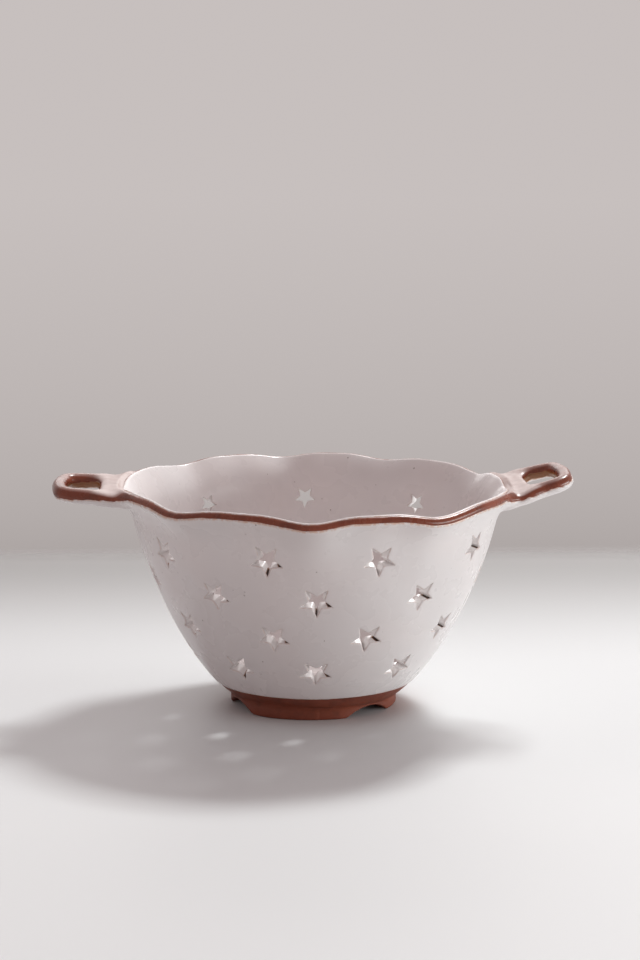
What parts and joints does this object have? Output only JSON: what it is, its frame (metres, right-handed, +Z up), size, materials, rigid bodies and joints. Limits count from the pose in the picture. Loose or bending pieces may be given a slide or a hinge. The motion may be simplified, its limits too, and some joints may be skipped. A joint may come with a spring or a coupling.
{
  "type": "colander bowl",
  "caption": "Round terracotta bowl on a foot ring, white glazed, pierced with star holes, with a wavy bare lip and a looped handle on each side.",
  "frame": {"origin": "on the table, under the bowl's axis", "axes": "+X from the bowl's axis to the right handle, so the handles lie along X; +Z up; -Y is the front"},
  "size_m": [0.2113, 0.1621, 0.0957],
  "materials": {
    "terracotta": "burnished dark red-brown terracotta, glossy on the lip and handles and satin on the foot",
    "white_glaze": "warm white satin glaze with tiny dark specks"
  },
  "bodies": {
    "root": {"bowl_body": "terracotta", "foot_ring": "terracotta", "left_handle": "terracotta", "right_handle": "terracotta", "outer_glaze": "white_glaze", "inner_glaze": "white_glaze", "left_handle_glaze": "white_glaze", "right_handle_glaze": "white_glaze"}
  },
  "joints": []
}
